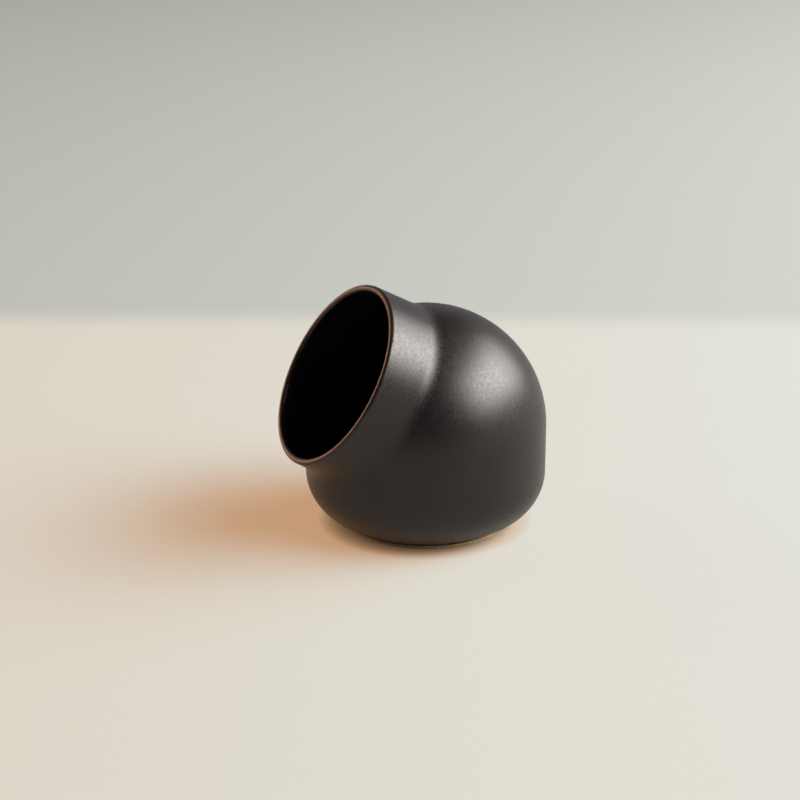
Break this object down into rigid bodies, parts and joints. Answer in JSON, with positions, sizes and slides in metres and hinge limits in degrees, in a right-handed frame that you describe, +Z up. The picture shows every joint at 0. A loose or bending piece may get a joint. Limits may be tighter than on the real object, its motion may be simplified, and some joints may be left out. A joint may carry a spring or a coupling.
{
  "type": "salt pig",
  "caption": "Round stoneware salt pig with a domed top and a wide slanted collar mouth, matte black glaze, bare clay lip and foot, for keeping salt at hand.",
  "frame": {"origin": "middle of the foot, on the plane that the pot stands on", "axes": "+Z up, the mouth faces -Y and upwards, +X to the right of someone who looks into the mouth along +Y"},
  "size_m": [0.115, 0.127, 0.1182],
  "materials": {
    "black_glaze": "matte black glaze on stoneware",
    "bare_lip": "glaze broken to red-brown clay along the lip",
    "bare_foot": "unglazed stoneware, wiped clean"
  },
  "bodies": {
    "root": {"bowl": "black_glaze", "dome": "black_glaze", "collar": "black_glaze", "lip": "bare_lip", "foot_ring": "bare_foot"}
  },
  "joints": []
}
